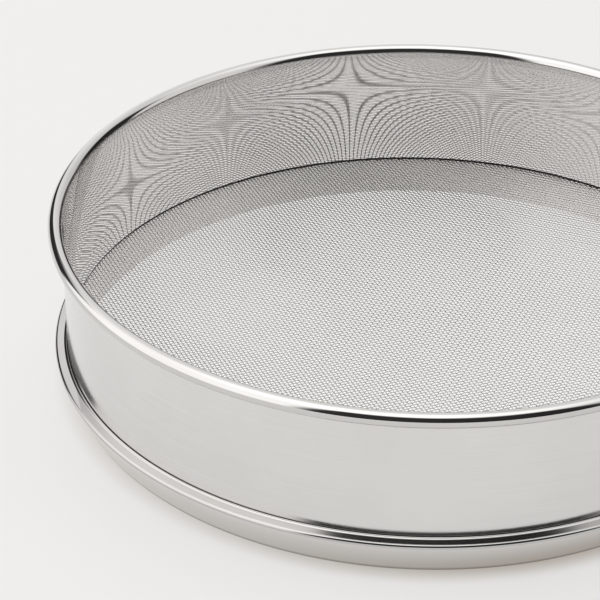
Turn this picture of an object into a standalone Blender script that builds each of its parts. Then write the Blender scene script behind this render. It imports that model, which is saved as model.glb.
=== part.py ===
"""Round soil sieve: a sheet-steel drum with a wired rim, a woven mesh and a nesting base ring.

Origin at the centre of the foot, +Z up through the drum's axis. Metres.
"""

import math

import bpy

# Driving dimensions
RIM_DIAMETER = 0.300        # over the rolled rim
HEIGHT = 0.072              # foot to the top of the rim
SHEET = 0.0004              # thickness of every sheet part
GAP = 0.00025               # clearance between touching parts
CURL_RADIUS = 0.0029        # outside radius of the rolled rim
CURL_END = math.radians(-135)       # where the rolled edge stops, short of the wall
FOOT_RADIUS = 0.1426        # outside of the base ring where it stands
LIP_RADIUS = 0.1496         # outermost point of the folded seam
FOLD_RADIUS = 0.00115       # outside radius of the fold at the lip
FOLD_TOP = 0.0160           # highest point of that fold
SHELF_SLOPE = math.radians(4)       # fall of the seam's upper leg towards the lip
SHOULDER_RADIUS = 0.0023    # rounding of the leg beside the wall
SHOULDER_START = math.radians(16)   # slope of that rounding at the wall and at its end
SHOULDER_END = math.radians(41)
WEAVE_WIRE = 0.0004         # diameter of the woven wires

# Everything below follows from them
WALL_INNER = RIM_DIAMETER / 2 - 2 * CURL_RADIUS
WALL_OUTER = WALL_INNER + SHEET
CURL_CENTRE = (RIM_DIAMETER / 2 - CURL_RADIUS, HEIGHT - CURL_RADIUS)
WIRE_RADIUS = CURL_RADIUS - SHEET - GAP
FOLD_CENTRE = (LIP_RADIUS - FOLD_RADIUS, FOLD_TOP - FOLD_RADIUS)
FLANGE_TOP = FOLD_TOP - SHEET - GAP
FLANGE_BOTTOM = FLANGE_TOP - SHEET
FLANGE_RADIUS = FOLD_CENTRE[0] + 0.00015
FLANGE_FILLET = 0.00035     # inside radius of the bend between wall and flange
MESH_TOP = FLANGE_BOTTOM - GAP
MESH_THICKNESS = 2 * WEAVE_WIRE
MESH_RADIUS = FOLD_CENTRE[0] - 0.00005
HEM_RADIUS = SHEET / 2      # rounded edge of the leg, beside the wall
HEM_CENTRE = WALL_OUTER + GAP + HEM_RADIUS

SEGMENTS = 72               # facets round the axis
WIRE_SIDES = 8

STEEL = (0.62, 0.62, 0.61, 1.0)


def clear_scene():
    """Start from an empty scene."""
    for obj in list(bpy.data.objects):
        bpy.data.objects.remove(obj, do_unlink=True)


def steel(name, roughness):
    """A stainless steel with the finish of one part."""
    material = bpy.data.materials.new(name)
    material.use_nodes = True
    shader = material.node_tree.nodes["Principled BSDF"]
    shader.inputs["Base Color"].default_value = STEEL
    shader.inputs["Metallic"].default_value = 1.0
    shader.inputs["Roughness"].default_value = roughness
    return material


def arc(centre, radius, start, end, steps):
    """Points (r, z) on a circular arc, both ends included."""
    points = []
    for step in range(steps + 1):
        angle = start + (end - start) * step / steps
        points.append((centre[0] + radius * math.cos(angle), centre[1] + radius * math.sin(angle)))
    return points


def turned(name, outline, material, collection):
    """Turn a closed (r, z) outline, listed clockwise in the r-z plane, about the Z axis."""
    mesh = bpy.data.meshes.new(name)
    vertices = [(r, 0.0, z) for r, z in outline]
    edges = [(i, (i + 1) % len(outline)) for i in range(len(outline))]
    mesh.from_pydata(vertices, edges, [])
    obj = bpy.data.objects.new(name, mesh)
    collection.objects.link(obj)
    obj.data.materials.append(material)
    screw = obj.modifiers.new("turn", "SCREW")
    screw.axis = "Z"
    screw.angle = math.tau
    screw.steps = SEGMENTS
    screw.render_steps = SEGMENTS
    screw.use_merge_vertices = True
    screw.merge_threshold = 0.00001
    screw.use_smooth_shade = True
    return obj


def drum_shell(collection):
    """Cylinder wall with the outward rolled rim above and the gripped flange below."""
    quarter = math.pi / 2
    outer_curl = arc(CURL_CENTRE, CURL_RADIUS, math.pi, CURL_END, 14)
    inner_curl = arc(CURL_CENTRE, CURL_RADIUS - SHEET, CURL_END, math.pi, 12)
    bend = (WALL_OUTER + FLANGE_FILLET, FLANGE_TOP + FLANGE_FILLET)
    upper_bend = arc(bend, FLANGE_FILLET, math.pi, math.pi + quarter, 3)
    lower_bend = arc(bend, FLANGE_FILLET + SHEET, math.pi + quarter, math.pi, 4)
    outline = outer_curl + inner_curl + upper_bend
    outline += [(FLANGE_RADIUS, FLANGE_TOP), (FLANGE_RADIUS, FLANGE_BOTTOM)]
    outline += lower_bend
    return turned("drum_shell", outline, steel("drum steel", 0.18), collection)


def rim_wire(collection):
    """Round wire that the rim is rolled around."""
    outline = arc(CURL_CENTRE, WIRE_RADIUS, math.tau, 0.0, WIRE_SIDES)[:-1]
    return turned("rim_wire", outline, steel("wire steel", 0.35), collection)


def sieve_mesh(collection):
    """Disc of woven mesh, as one thin plate."""
    bottom = MESH_TOP - MESH_THICKNESS
    bpy.ops.mesh.primitive_cylinder_add(
        vertices=SEGMENTS,
        radius=MESH_RADIUS,
        depth=MESH_THICKNESS,
        end_fill_type="NGON",
        location=(0.0, 0.0, bottom + MESH_THICKNESS / 2),
    )
    obj = bpy.context.active_object
    obj.name = "sieve_mesh"
    obj.data.name = "sieve_mesh"
    for other in list(obj.users_collection):
        other.objects.unlink(obj)
    collection.objects.link(obj)
    obj.data.materials.append(steel("mesh steel", 0.4))
    return obj


def base_ring(collection):
    """Tapered foot ring whose top edge folds over the flange and the mesh edge."""
    rise = FOLD_CENTRE[1]
    reach = FOLD_CENTRE[0] - FOOT_RADIUS
    # The taper is the line from the foot that touches the fold's outer arc.
    taper = math.atan2(reach, rise) + math.asin(FOLD_RADIUS / math.hypot(reach, rise))
    quarter = math.pi / 2
    fold_start = quarter - SHELF_SLOPE
    outer = arc(FOLD_CENTRE, FOLD_RADIUS, fold_start, -taper, 8)
    inner = arc(FOLD_CENTRE, FOLD_RADIUS - SHEET, -taper, fold_start, 7)
    inner_foot = FOOT_RADIUS - SHEET / math.cos(taper)
    # The shoulder runs from the hem to where the leg's slope, carried in from the fold, meets it.
    hem_reach = SHOULDER_RADIUS - HEM_RADIUS
    shoulder_r = HEM_CENTRE - hem_reach * math.sin(SHOULDER_START)
    end_r = shoulder_r + SHOULDER_RADIUS * math.sin(SHOULDER_END)
    end_z = outer[0][1] + (outer[0][0] - end_r) * math.tan(SHELF_SLOPE)
    shoulder = (shoulder_r, end_z - SHOULDER_RADIUS * math.cos(SHOULDER_END))
    hem = (HEM_CENTRE, shoulder[1] + hem_reach * math.cos(SHOULDER_START))
    start = quarter - SHOULDER_START
    end = quarter - SHOULDER_END
    outline = arc(hem, HEM_RADIUS, start + math.pi, start, 4)
    outline += arc(shoulder, SHOULDER_RADIUS, start, end, 4)[1:]
    outline += outer + [(FOOT_RADIUS, 0.0), (inner_foot, 0.0)] + inner
    outline += arc(shoulder, SHOULDER_RADIUS - SHEET, end, start, 4)[:-1]
    return turned("base_ring", outline, steel("ring steel", 0.2), collection)


def build():
    """Model the whole sieve."""
    clear_scene()
    collection = bpy.data.collections.new("soil_sieve")
    bpy.context.scene.collection.children.link(collection)
    drum_shell(collection)
    rim_wire(collection)
    sieve_mesh(collection)
    base_ring(collection)


build()
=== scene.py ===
"""Looks of the round soil sieve: turned sheet parts, woven wires, steel finishes and a studio."""

import math

import bpy
import numpy as np
from mathutils import Matrix, Vector


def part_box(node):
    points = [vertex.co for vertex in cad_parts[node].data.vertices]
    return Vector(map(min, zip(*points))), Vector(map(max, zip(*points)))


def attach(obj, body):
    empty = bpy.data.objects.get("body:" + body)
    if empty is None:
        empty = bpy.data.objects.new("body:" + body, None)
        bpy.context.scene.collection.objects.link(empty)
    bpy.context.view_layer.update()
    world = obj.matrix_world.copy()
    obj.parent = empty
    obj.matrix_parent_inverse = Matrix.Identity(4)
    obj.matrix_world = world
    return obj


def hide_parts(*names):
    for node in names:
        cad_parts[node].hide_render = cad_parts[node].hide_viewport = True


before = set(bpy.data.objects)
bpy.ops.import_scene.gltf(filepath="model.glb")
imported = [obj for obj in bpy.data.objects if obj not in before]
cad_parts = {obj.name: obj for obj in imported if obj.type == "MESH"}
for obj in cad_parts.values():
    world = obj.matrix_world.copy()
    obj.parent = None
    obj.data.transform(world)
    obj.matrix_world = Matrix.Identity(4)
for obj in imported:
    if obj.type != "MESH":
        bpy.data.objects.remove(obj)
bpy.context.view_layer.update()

# Sheet details, in metres, as the CAD parts have them
SHEET = 0.0004
GAP = 0.00025
CURL_RADIUS = 0.0029
CURL_END = math.radians(-135)
FOLD_RADIUS = 0.00115
FOLD_TOP = 0.0160
SHELF_SLOPE = math.radians(4)
SHOULDER_RADIUS = 0.0023
SHOULDER_START = math.radians(16)
SHOULDER_END = math.radians(41)
FLANGE_FILLET = 0.00035
FOOT_RADIUS = 0.1426

# Weave
WIRES_PER_INCH = 16
PITCH = 0.0254 / WIRES_PER_INCH
WEAVE_ANGLE = math.radians(25.8)    # turn of the warp wires from the X axis
WIRE_SIDES = 6
STEPS_PER_PITCH = 2
STRIPS = 4                  # separate pieces for each set of wires

TURN_STEPS = 512            # facets round the axis of the turned pieces
SHARP_ANGLE = math.radians(30)      # edges of the turned pieces beyond this stay sharp

# Finishes: heights above the flange and the fold over which each seam's painted shade fades, and bumps
INNER_SEAM_FADE = (0.0008, 0.0011)
OUTER_SEAM_FADE = (0.0006, 0.0012)
SHEET_BUMP = 0.000002
WIRE_BUMP = 0.000001

# Table
TABLE_SIZE = 12.0
TABLE_GLOW = 0.575
GLOW_UNDER = 1.3            # painted light: the glow is this many times brighter beneath the sieve
CONTACT_WIDTH = 0.010       # band beside the foot where a painted contact shadow makes the glow weaker and warmer

# Camera
CAMERA_PLACE = (0.0, -0.8709, 0.5632)
CAMERA_YAW = -0.0570
CAMERA_PITCH = 0.5519
CAMERA_ROLL = 0.0030
FOCAL_LENGTH_MM = 150.1
SENSOR_MM = 36.0


# ---------------------------------------------------------------- geometry from the frame

drum_low, drum_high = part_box("drum_shell")
mesh_low, mesh_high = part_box("sieve_mesh")
ring_low, ring_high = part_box("base_ring")

RIM_RADIUS = drum_high[0]
HEIGHT = drum_high[2]
WALL_INNER = RIM_RADIUS - 2 * CURL_RADIUS
WALL_OUTER = WALL_INNER + SHEET
CURL_CENTRE = (RIM_RADIUS - CURL_RADIUS, HEIGHT - CURL_RADIUS)
FLANGE_BOTTOM = drum_low[2]
FLANGE_TOP = FLANGE_BOTTOM + SHEET
LIP_RADIUS = ring_high[0]
FOLD_CENTRE = (LIP_RADIUS - FOLD_RADIUS, FOLD_TOP - FOLD_RADIUS)
FLANGE_RADIUS = FOLD_CENTRE[0] + 0.00015
HEM_RADIUS = SHEET / 2
HEM_CENTRE = WALL_OUTER + GAP + HEM_RADIUS
MESH_RADIUS = mesh_high[0] - 0.0001
MESH_MIDDLE = (mesh_low[2] + mesh_high[2]) / 2
WIRE_RADIUS = (mesh_high[2] - mesh_low[2]) / 4


# ---------------------------------------------------------------- node helpers

class Nodes:
    """Short ways to add linked shader nodes to one tree."""

    def __init__(self, tree):
        self.tree = tree
        tree.nodes.clear()

    def add(self, kind, **settings):
        node = self.tree.nodes.new(kind)
        for name, value in settings.items():
            setattr(node, name, value)
        return node

    def put(self, socket, value):
        """Link a socket to an output, or set its constant."""
        if isinstance(value, bpy.types.NodeSocket):
            self.tree.links.new(value, socket)
        else:
            socket.default_value = value

    def math(self, operation, a, b=0.0, c=0.0, clamp=False):
        node = self.add("ShaderNodeMath", operation=operation, use_clamp=clamp)
        for socket, value in zip(node.inputs, (a, b, c)):
            self.put(socket, value)
        return node.outputs[0]

    def ramp(self, value, low, high, to_low=0.0, to_high=1.0, smooth=True):
        """Map value from low..high to to_low..to_high, clamped."""
        node = self.add("ShaderNodeMapRange")
        node.interpolation_type = "SMOOTHSTEP" if smooth else "LINEAR"
        for socket, number in zip(node.inputs, (value, low, high, to_low, to_high)):
            self.put(socket, number)
        return node.outputs[0]

    def mix_colour(self, factor, a, b):
        node = self.add("ShaderNodeMix", data_type="RGBA")
        self.put(node.inputs[0], factor)
        self.put(node.inputs[6], a)
        self.put(node.inputs[7], b)
        return node.outputs[2]

    def noise(self, vector, scale, detail=2.0, roughness=0.5):
        node = self.add("ShaderNodeTexNoise")
        self.put(node.inputs["Vector"], vector)
        self.put(node.inputs["Scale"], scale)
        self.put(node.inputs["Detail"], detail)
        self.put(node.inputs["Roughness"], roughness)
        return node.outputs["Fac"]

    def stretched(self, vector, scale):
        node = self.add("ShaderNodeMapping")
        self.put(node.inputs["Vector"], vector)
        self.put(node.inputs["Scale"], scale)
        return node.outputs[0]

    def bump(self, height, distance, strength=1.0):
        node = self.add("ShaderNodeBump")
        self.put(node.inputs["Height"], height)
        self.put(node.inputs["Distance"], distance)
        self.put(node.inputs["Strength"], strength)
        return node.outputs[0]


def new_material(name):
    material = bpy.data.materials.new(name)
    material.use_nodes = True
    nodes = Nodes(material.node_tree)
    shader = nodes.add("ShaderNodeBsdfPrincipled")
    output = nodes.add("ShaderNodeOutputMaterial")
    nodes.put(output.inputs["Surface"], shader.outputs[0])
    return material, nodes, shader


# ---------------------------------------------------------------- materials

def sheet_marks(nodes):
    """Tone from 0 to 1: fine marks round the axis over a soft cloudiness."""
    place = nodes.add("ShaderNodeTexCoord").outputs["Object"]
    grain = nodes.noise(nodes.stretched(place, (14.0, 14.0, 3200.0)), 1.0, 3.0, 0.6)
    cloud = nodes.noise(place, 22.0, 3.0, 0.55)
    tone = nodes.math("ADD", nodes.math("MULTIPLY", grain, 0.5), nodes.math("MULTIPLY", cloud, 0.5))
    return grain, nodes.ramp(tone, 0.35, 0.65)


def facing_out(nodes):
    """1 where the surface faces away from the axis, 0 where it faces it."""
    geometry = nodes.add("ShaderNodeNewGeometry")
    radial = nodes.add("ShaderNodeVectorMath", operation="MULTIPLY")
    nodes.put(radial.inputs[0], geometry.outputs["Position"])
    nodes.put(radial.inputs[1], (1.0, 1.0, 0.0))
    dot = nodes.add("ShaderNodeVectorMath", operation="DOT_PRODUCT")
    nodes.put(dot.inputs[0], radial.outputs[0])
    nodes.put(dot.inputs[1], geometry.outputs["Normal"])
    return nodes.math("GREATER_THAN", dot.outputs["Value"], 0.0)


def height(nodes):
    split = nodes.add("ShaderNodeSeparateXYZ")
    nodes.put(split.inputs[0], nodes.add("ShaderNodeTexCoord").outputs["Object"])
    return split.outputs[2]


def grey(value, tint=0.97):
    return (value, value * (1 + tint) / 2, value * tint, 1.0)


def drum_steel():
    """Polished inside and on the rim, fine satin outside, with painted shade darkening the seams on both
    sides.
    """
    material, nodes, shader = new_material("drum_steel")
    grain, tone = sheet_marks(nodes)
    outside = facing_out(nodes)
    z = height(nodes)
    rim = nodes.ramp(z, CURL_CENTRE[1] - CURL_RADIUS, CURL_CENTRE[1] - CURL_RADIUS / 2)
    satin = nodes.math("MULTIPLY", outside, nodes.math("SUBTRACT", 1.0, rim))
    inner = nodes.mix_colour(tone, grey(0.75), grey(0.79))
    outer = nodes.mix_colour(tone, grey(0.73, 0.975), grey(0.78, 0.975))
    bright = nodes.mix_colour(rim, inner, nodes.mix_colour(tone, grey(0.65), grey(0.69)))
    sheet = nodes.mix_colour(satin, bright, outer)
    # Painted shade: the wall darkens just above the flange inside and just above the fold outside, where
    # the seams lie in shadow.
    inner_seam_shade = nodes.ramp(z, FLANGE_TOP + INNER_SEAM_FADE[0], FLANGE_TOP + INNER_SEAM_FADE[1], 1.0, 0.0)
    outer_seam_shade = nodes.ramp(z, FOLD_TOP + OUTER_SEAM_FADE[0], FOLD_TOP + OUTER_SEAM_FADE[1], 0.5, 0.0)
    seam_shade = nodes.add("ShaderNodeMix")
    nodes.put(seam_shade.inputs[0], outside)
    nodes.put(seam_shade.inputs[2], inner_seam_shade)
    nodes.put(seam_shade.inputs[3], outer_seam_shade)
    nodes.put(shader.inputs["Base Color"], nodes.mix_colour(seam_shade.outputs[0], sheet, grey(0.02)))
    shader.inputs["Metallic"].default_value = 1.0
    satin_roughness = nodes.ramp(tone, 0.0, 1.0, 0.13, 0.18)
    bright_roughness = nodes.ramp(tone, 0.0, 1.0, 0.025, 0.04)
    rough = nodes.add("ShaderNodeMix")
    nodes.put(rough.inputs[0], satin)
    nodes.put(rough.inputs[2], bright_roughness)
    nodes.put(rough.inputs[3], satin_roughness)
    nodes.put(shader.inputs["Roughness"], rough.outputs[0])
    depth = nodes.math("MULTIPLY", grain, satin)
    nodes.put(shader.inputs["Normal"], nodes.bump(depth, SHEET_BUMP))
    return material


def ring_steel():
    """Polished fold above a satin taper; painted light makes the inside face pale, painted shade darkens
    the hem beside the wall and a painted contact shadow darkens the foot.
    """
    material, nodes, shader = new_material("ring_steel")
    grain, tone = sheet_marks(nodes)
    outside = facing_out(nodes)
    z = height(nodes)
    taper = nodes.ramp(z, FOLD_CENTRE[1] - FOLD_RADIUS, FOLD_CENTRE[1], 1.0, 0.0)
    inside = nodes.math("MULTIPLY", taper, nodes.math("SUBTRACT", 1.0, outside))
    sheet = nodes.mix_colour(tone, grey(0.55), grey(0.60))
    # Painted light: the inside face gets a far paler colour than the same sheet outside, a little
    # brighter towards the top.
    pale = nodes.mix_colour(nodes.ramp(z, 0.0095, 0.0115), grey(0.95), grey(0.97))
    # Painted shade on the faces above the fold that turn towards the wall, in the gap beside it.
    upper = nodes.ramp(z, FOLD_TOP, FOLD_TOP + 0.0001)
    gap_shade = nodes.math("MULTIPLY", upper, nodes.math("SUBTRACT", 1.0, outside))
    # Painted contact shadow: the skirt darkens and warms over its lowest two millimetres.
    foot = nodes.ramp(z, 0.0002, 0.0020)
    skirt = nodes.mix_colour(foot, grey(0.42, 0.93), grey(0.74))
    clean = nodes.mix_colour(inside, nodes.mix_colour(taper, sheet, skirt), pale)
    nodes.put(shader.inputs["Base Color"], nodes.mix_colour(gap_shade, clean, grey(0.3)))
    shader.inputs["Metallic"].default_value = 1.0
    satin = nodes.math("ADD", nodes.math("MULTIPLY", taper, 0.09), nodes.math("MULTIPLY", inside, 0.3))
    polish = nodes.ramp(tone, 0.0, 1.0, 0.03, 0.06)
    nodes.put(shader.inputs["Roughness"], nodes.math("ADD", satin, polish))
    depth = nodes.math("MULTIPLY", grain, taper)
    nodes.put(shader.inputs["Normal"], nodes.bump(depth, SHEET_BUMP))
    return material


def rim_wire_steel():
    """Plain drawn wire."""
    material, nodes, shader = new_material("rim_wire_steel")
    grain, tone = sheet_marks(nodes)
    nodes.put(shader.inputs["Base Color"], nodes.mix_colour(tone, grey(0.55), grey(0.62)))
    shader.inputs["Metallic"].default_value = 1.0
    nodes.put(shader.inputs["Roughness"], nodes.ramp(tone, 0.0, 1.0, 0.3, 0.4))
    nodes.put(shader.inputs["Normal"], nodes.bump(grain, WIRE_BUMP))
    return material


def wire_steel():
    """Bright drawn wire of the weave, with a slight change of tone from place to place."""
    material, nodes, shader = new_material("woven_wire_steel")
    place = nodes.add("ShaderNodeTexCoord").outputs["Object"]
    drawn = nodes.noise(place, 900.0, 2.0)
    batch = nodes.noise(place, 30.0, 2.0)
    tone = nodes.math("ADD", nodes.math("MULTIPLY", drawn, 0.5), nodes.math("MULTIPLY", batch, 0.5))
    bright = nodes.mix_colour(nodes.ramp(tone, 0.35, 0.65), grey(0.53), grey(0.59))
    normal = nodes.add("ShaderNodeSeparateXYZ")
    nodes.put(normal.inputs[0], nodes.add("ShaderNodeNewGeometry").outputs["Normal"])
    # Painted shade darkens the wires at their sides, where they face one another, and painted light makes
    # them brightest underneath.
    side = nodes.ramp(normal.outputs[2], 0.15, 0.6, 1.0, 0.0)
    painted_light_under = nodes.ramp(normal.outputs[2], -0.3, -0.1, 1.0, 0.0)
    side_shaded = nodes.mix_colour(side, bright, grey(0.08))
    nodes.put(shader.inputs["Base Color"], nodes.mix_colour(painted_light_under, side_shaded, grey(0.97)))
    shader.inputs["Metallic"].default_value = 1.0
    nodes.put(shader.inputs["Roughness"], nodes.ramp(drawn, 0.3, 0.7, 0.08, 0.14))
    return material


def floor_material():
    """Plain pale translucent table, lit softly from below, with painted light beneath the sieve and a
    painted contact shadow beside the foot.
    """
    material, nodes, shader = new_material("studio_table")
    place = nodes.add("ShaderNodeTexCoord").outputs["Object"]
    split = nodes.add("ShaderNodeSeparateXYZ")
    nodes.put(split.inputs[0], place)
    x, y, _ = split.outputs
    fibre = nodes.noise(place, 60.0, 3.0)
    paper = nodes.mix_colour(fibre, (0.30, 0.297, 0.293, 1.0), (0.31, 0.307, 0.303, 1.0))
    nodes.put(shader.inputs["Base Color"], paper)
    shader.inputs["Roughness"].default_value = 0.7
    shader.inputs["Specular IOR Level"].default_value = 0.0
    # Painted light and shade in the glow: it weakens from left to right, and a painted contact shadow
    # beside the foot makes it weaker and warm.
    reach = nodes.add("ShaderNodeVectorMath", operation="LENGTH")
    flat = nodes.add("ShaderNodeCombineXYZ")
    nodes.put(flat.inputs[0], x)
    nodes.put(flat.inputs[1], y)
    nodes.put(reach.inputs[0], flat.outputs[0])
    beside = nodes.ramp(reach.outputs["Value"], FOOT_RADIUS, FOOT_RADIUS + CONTACT_WIDTH, 1.0, 0.0)
    outside = nodes.math("GREATER_THAN", reach.outputs["Value"], FOOT_RADIUS - 0.0005)
    right = nodes.ramp(x, -0.15, 0.1)
    strength = nodes.ramp(right, 0.0, 1.0, 0.45, 1.0)
    contact = nodes.math("MULTIPLY", nodes.math("MULTIPLY", beside, outside), strength)
    glow_colour = nodes.mix_colour(contact, (1.0, 0.995, 0.982, 1.0), (0.66, 0.60, 0.54, 1.0))
    nodes.put(shader.inputs["Emission Color"], glow_colour)
    # Painted light: the glow is a little stronger at the left and GLOW_UNDER times stronger beneath the
    # sieve.
    across = nodes.ramp(x, -0.35, 0.45, 1.03, 0.97, smooth=False)
    painted_light_under = nodes.ramp(outside, 0.0, 1.0, GLOW_UNDER, 1.0, smooth=False)
    glow = nodes.math("MULTIPLY", nodes.math("MULTIPLY", across, TABLE_GLOW), painted_light_under)
    nodes.put(shader.inputs["Emission Strength"], glow)
    return material


# ---------------------------------------------------------------- meshes

def arc(centre, radius, start, end, steps):
    """Points (r, z) on a circular arc, both ends included."""
    angles = np.linspace(start, end, steps + 1)
    return [(centre[0] + radius * math.cos(a), centre[1] + radius * math.sin(a)) for a in angles]


def straight(start, end, steps):
    """Points between two ends, both left out."""
    return [
        (start[0] + (end[0] - start[0]) * i / steps, start[1] + (end[1] - start[1]) * i / steps)
        for i in range(1, steps)
    ]


def link(obj):
    bpy.context.scene.collection.objects.link(obj)
    return obj


def turned(name, outline, material):
    """A closed (r, z) outline turned about the Z axis, listed so that its faces point outwards."""
    rings = len(outline)
    angle = np.arange(TURN_STEPS) * math.tau / TURN_STEPS
    r = np.array([point[0] for point in outline])
    z = np.array([point[1] for point in outline])
    points = np.stack(
        [
            np.outer(np.cos(angle), r),
            np.outer(np.sin(angle), r),
            np.outer(np.ones(TURN_STEPS), z),
        ],
        axis=-1,
    ).reshape(-1, 3)
    turn, step = np.meshgrid(np.arange(TURN_STEPS), np.arange(rings), indexing="ij")
    next_turn = (turn + 1) % TURN_STEPS
    next_step = (step + 1) % rings
    faces = np.stack(
        [
            turn * rings + step,
            turn * rings + next_step,
            next_turn * rings + next_step,
            next_turn * rings + step,
        ],
        axis=-1,
    ).reshape(-1, 4)
    return mesh_object(name, points, faces, material, sharp=SHARP_ANGLE)


def mesh_object(name, points, quads, material, ends=(), sharp=None):
    """A mesh from arrays of points and quads, plus a list of end caps."""
    mesh = bpy.data.meshes.new(name)
    mesh.vertices.add(len(points))
    mesh.vertices.foreach_set("co", np.asarray(points, np.float32).ravel())
    cap_corners = sum(len(cap) for cap in ends)
    mesh.loops.add(quads.size + cap_corners)
    corners = [quads.ravel()] + [np.asarray(cap) for cap in ends]
    mesh.loops.foreach_set("vertex_index", np.concatenate(corners).astype(np.int32))
    mesh.polygons.add(len(quads) + len(ends))
    starts = np.concatenate(
        [np.arange(len(quads)) * 4, quads.size + np.cumsum([0] + [len(cap) for cap in ends])[:-1]]
    )
    mesh.polygons.foreach_set("loop_start", starts.astype(np.int32))
    mesh.update(calc_edges=True)
    mesh.validate()
    mesh.shade_smooth()
    if sharp is not None:
        mesh.set_sharp_from_angle(angle=sharp)
    mesh.materials.append(material)
    return link(bpy.data.objects.new(name, mesh))


def drum_piece():
    """The cylinder wall with its rolled rim and the flange that the seam grips."""
    # Support points along straight runs keep the smooth shading flat beside the bends.
    half = math.pi
    quarter = math.pi / 2
    outer_curl = arc(CURL_CENTRE, CURL_RADIUS, half, CURL_END, 48)
    inner_curl = arc(CURL_CENTRE, CURL_RADIUS - SHEET, CURL_END, half, 36)
    bend = (WALL_OUTER + FLANGE_FILLET, FLANGE_TOP + FLANGE_FILLET)
    upper_bend = arc(bend, FLANGE_FILLET, half, half + quarter, 6)
    lower_bend = arc(bend, FLANGE_FILLET + SHEET, half + quarter, half, 8)
    outline = outer_curl + inner_curl
    outline += straight(inner_curl[-1], upper_bend[0], 6) + upper_bend
    outline += [(FLANGE_RADIUS, FLANGE_TOP), (FLANGE_RADIUS, FLANGE_BOTTOM)]
    outline += lower_bend + straight(lower_bend[-1], outer_curl[0], 6)
    return turned("drum", outline, drum_steel())


def ring_piece():
    """The tapered foot ring with its folded seam and bead."""
    rise = FOLD_CENTRE[1]
    reach = FOLD_CENTRE[0] - FOOT_RADIUS
    taper = math.atan2(reach, rise) + math.asin(FOLD_RADIUS / math.hypot(reach, rise))
    quarter = math.pi / 2
    fold_start = quarter - SHELF_SLOPE
    outer = arc(FOLD_CENTRE, FOLD_RADIUS, fold_start, -taper, 32)
    inner = arc(FOLD_CENTRE, FOLD_RADIUS - SHEET, -taper, fold_start, 20)
    inner_foot = (FOOT_RADIUS - SHEET / math.cos(taper), 0.0)
    outer_foot = (FOOT_RADIUS, 0.0)
    # The shoulder runs from the hem to where the leg's slope, carried in from the fold, meets it.
    hem_reach = SHOULDER_RADIUS - HEM_RADIUS
    shoulder_r = HEM_CENTRE - hem_reach * math.sin(SHOULDER_START)
    end_r = shoulder_r + SHOULDER_RADIUS * math.sin(SHOULDER_END)
    end_z = outer[0][1] + (outer[0][0] - end_r) * math.tan(SHELF_SLOPE)
    shoulder = (shoulder_r, end_z - SHOULDER_RADIUS * math.cos(SHOULDER_END))
    hem = (HEM_CENTRE, shoulder[1] + hem_reach * math.cos(SHOULDER_START))
    start = quarter - SHOULDER_START
    end = quarter - SHOULDER_END
    outline = arc(hem, HEM_RADIUS, start + math.pi, start, 12)
    outline += arc(shoulder, SHOULDER_RADIUS, start, end, 12)[1:]
    outline += straight(outline[-1], outer[0], 6) + outer + straight(outer[-1], outer_foot, 5)
    outline += [outer_foot, inner_foot] + straight(inner_foot, inner[0], 5) + inner
    outline += arc(shoulder, SHOULDER_RADIUS - SHEET, end, start, 8)[:-1]
    return turned("base_ring_sheet", outline, ring_steel())


def wire_arrays(offset, index, direction, across, first):
    """Points and side quads of one wavy wire of the weave, and its two end caps."""
    half = math.sqrt(MESH_RADIUS ** 2 - offset ** 2)
    step = PITCH / STEPS_PER_PITCH
    count = int(half / step)
    # Samples fall on the crossings, which lie at odd halves of the pitch, and between them.
    along = (np.arange(-count, count + 1)) * step
    along = along[np.abs(along) < half]
    sign = 1.0 if index % 2 == 0 else -1.0
    phase = math.pi * (along / PITCH - 0.5)
    lift = sign * first * WIRE_RADIUS * np.cos(phase)
    slope = -sign * first * WIRE_RADIUS * np.sin(phase) * math.pi / PITCH
    centre = (
        np.outer(along, direction)
        + offset * across[None, :]
        + np.outer(MESH_MIDDLE + lift, (0.0, 0.0, 1.0))
    )
    length = np.sqrt(1 + slope ** 2)
    up = (np.outer(-slope, direction) + np.array([0.0, 0.0, 1.0])[None, :]) / length[:, None]
    turn = (np.arange(WIRE_SIDES) + 0.5) * math.tau / WIRE_SIDES
    points = (
        centre[:, None, :]
        + WIRE_RADIUS * np.cos(turn)[None, :, None] * across[None, None, :]
        + WIRE_RADIUS * np.sin(turn)[None, :, None] * up[:, None, :]
    )
    rings = len(along)
    ring, side = np.meshgrid(np.arange(rings - 1), np.arange(WIRE_SIDES), indexing="ij")
    next_side = (side + 1) % WIRE_SIDES
    quads = np.stack(
        [
            ring * WIRE_SIDES + side,
            ring * WIRE_SIDES + next_side,
            (ring + 1) * WIRE_SIDES + next_side,
            (ring + 1) * WIRE_SIDES + side,
        ],
        axis=-1,
    ).reshape(-1, 4)
    start_cap = np.arange(WIRE_SIDES)
    end_cap = (rings - 1) * WIRE_SIDES + np.arange(WIRE_SIDES)[::-1]
    return points.reshape(-1, 3), quads, [start_cap, end_cap]


def woven_set(name, turn, first, material):
    """One set of parallel wires, as STRIPS pieces of about equal length of wire."""
    direction = np.array([math.cos(turn), math.sin(turn), 0.0])
    across = np.array([-math.sin(turn), math.cos(turn), 0.0])
    number = int(2 * MESH_RADIUS / PITCH)
    number -= number % 2
    offsets = (np.arange(number) - (number - 1) / 2) * PITCH
    lengths = np.sqrt(MESH_RADIUS ** 2 - offsets ** 2)
    share = np.cumsum(lengths) / lengths.sum()
    strip_of = np.minimum((share * STRIPS).astype(int), STRIPS - 1)
    pieces = []
    for strip in range(STRIPS):
        points, quads, caps, base = [], [], [], 0
        for index in np.flatnonzero(strip_of == strip):
            wire = wire_arrays(offsets[index], index, direction, across, first)
            points.append(wire[0])
            quads.append(wire[1] + base)
            caps += [cap + base for cap in wire[2]]
            base += len(wire[0])
        piece = mesh_object(
            f"{name}_{strip + 1}", np.concatenate(points), np.concatenate(quads), material, caps
        )
        pieces.append(piece)
    return pieces


# ---------------------------------------------------------------- studio

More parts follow.
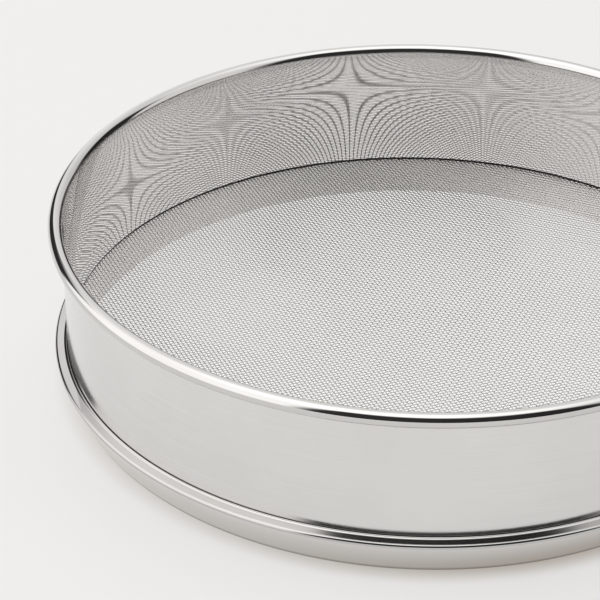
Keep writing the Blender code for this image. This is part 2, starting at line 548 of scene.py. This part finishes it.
def studio_world():
    """Soft daylight tent, brighter at the left, with a wide dark side and three dark openings."""
    world = bpy.data.worlds.new("studio")
    bpy.context.scene.world = world
    world.use_nodes = True
    nodes = Nodes(world.node_tree)
    ray = nodes.add("ShaderNodeTexCoord").outputs["Generated"]
    split = nodes.add("ShaderNodeSeparateXYZ")
    nodes.put(split.inputs[0], ray)
    x, y, z = split.outputs
    # Azimuth 0 is the camera's side, +90 is right, -90 left, in degrees; elevation likewise.
    azimuth = nodes.math("DEGREES", nodes.math("ARCTAN2", x, nodes.math("MULTIPLY", y, -1.0)))
    elevation = nodes.math("DEGREES", nodes.math("ARCSINE", z))

    def opening(low, high, soft_low, soft_high, fade_from, fade_to):
        """1 between two azimuths and below an elevation, with soft edges."""
        rise = nodes.ramp(azimuth, low - soft_low, low + soft_low)
        fall = nodes.ramp(azimuth, high - soft_high, high + soft_high, 1.0, 0.0)
        below = nodes.ramp(elevation, fade_from, fade_to, 1.0, 0.0)
        return nodes.math("MULTIPLY", nodes.math("MULTIPLY", rise, fall), below)

    side = nodes.ramp(x, -0.75, 0.85, 1.42, 0.92)
    overhead = nodes.ramp(elevation, 45.0, 80.0, 0.0, 0.45)
    behind = nodes.ramp(y, 0.2, 0.8, 1.0, 0.8)
    light = nodes.math("MULTIPLY", nodes.math("ADD", side, overhead), behind)
    dark = opening(-33.0, 58.0, 5.0, 8.0, 56.0, 74.0)
    for place in (
        (-158.0, -122.0, 3.0, 3.0, 26.0, 40.0),
        (106.0, 139.0, 3.0, 5.0, 34.0, 46.0),
        (130.0, 176.0, 5.0, 4.0, 5.0, 14.0),
    ):
        dark = nodes.math("MAXIMUM", dark, opening(*place))
    open_share = nodes.math("SUBTRACT", 1.0, nodes.math("MULTIPLY", dark, 0.97))
    strength = nodes.math("MULTIPLY", light, open_share)
    shader = nodes.add("ShaderNodeBackground")
    shader.inputs["Color"].default_value = (1.0, 0.992, 0.978, 1.0)
    nodes.put(shader.inputs["Strength"], strength)
    output = nodes.add("ShaderNodeOutputWorld")
    nodes.put(output.inputs["Surface"], shader.outputs[0])


def add_floor():
    bpy.ops.mesh.primitive_plane_add(size=TABLE_SIZE, location=(0.0, 0.0, 0.0))
    floor = bpy.context.active_object
    floor.name = "floor"
    floor.data.materials.append(floor_material())


def add_camera():
    camera = bpy.data.cameras.new("camera")
    camera.lens = FOCAL_LENGTH_MM
    camera.sensor_width = SENSOR_MM
    camera.clip_start = 0.01
    camera.clip_end = 50.0
    obj = link(bpy.data.objects.new("camera", camera))
    forward = Vector(
        (
            math.sin(CAMERA_YAW) * math.cos(CAMERA_PITCH),
            math.cos(CAMERA_YAW) * math.cos(CAMERA_PITCH),
            -math.sin(CAMERA_PITCH),
        )
    )
    level = forward.cross(Vector((0.0, 0.0, 1.0))).normalized()
    upright = level.cross(forward)
    right = math.cos(CAMERA_ROLL) * level + math.sin(CAMERA_ROLL) * upright
    up = right.cross(forward)
    turn = Matrix((right, up, -forward)).transposed().to_4x4()
    obj.matrix_world = Matrix.Translation(CAMERA_PLACE) @ turn
    bpy.context.scene.camera = obj


# ---------------------------------------------------------------- assembly

def give_material(node, material):
    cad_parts[node].data.materials.clear()
    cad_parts[node].data.materials.append(material)


drum = drum_piece()
ring = ring_piece()
weave_steel = wire_steel()
warp = woven_set("warp_wires", WEAVE_ANGLE, 1.0, weave_steel)
weft = woven_set("weft_wires", WEAVE_ANGLE + math.pi / 2, -1.0, weave_steel)

for piece, node, slot in ((drum, "drum_shell", "drum_steel"), (ring, "base_ring", "ring_steel")):
    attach(piece, "root")
    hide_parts(node)
for piece in warp + weft:
    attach(piece, "root")
    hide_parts("sieve_mesh")
give_material("rim_wire", rim_wire_steel())

studio_world()
add_floor()
add_camera()
bpy.context.scene.view_settings.view_transform = "Standard"
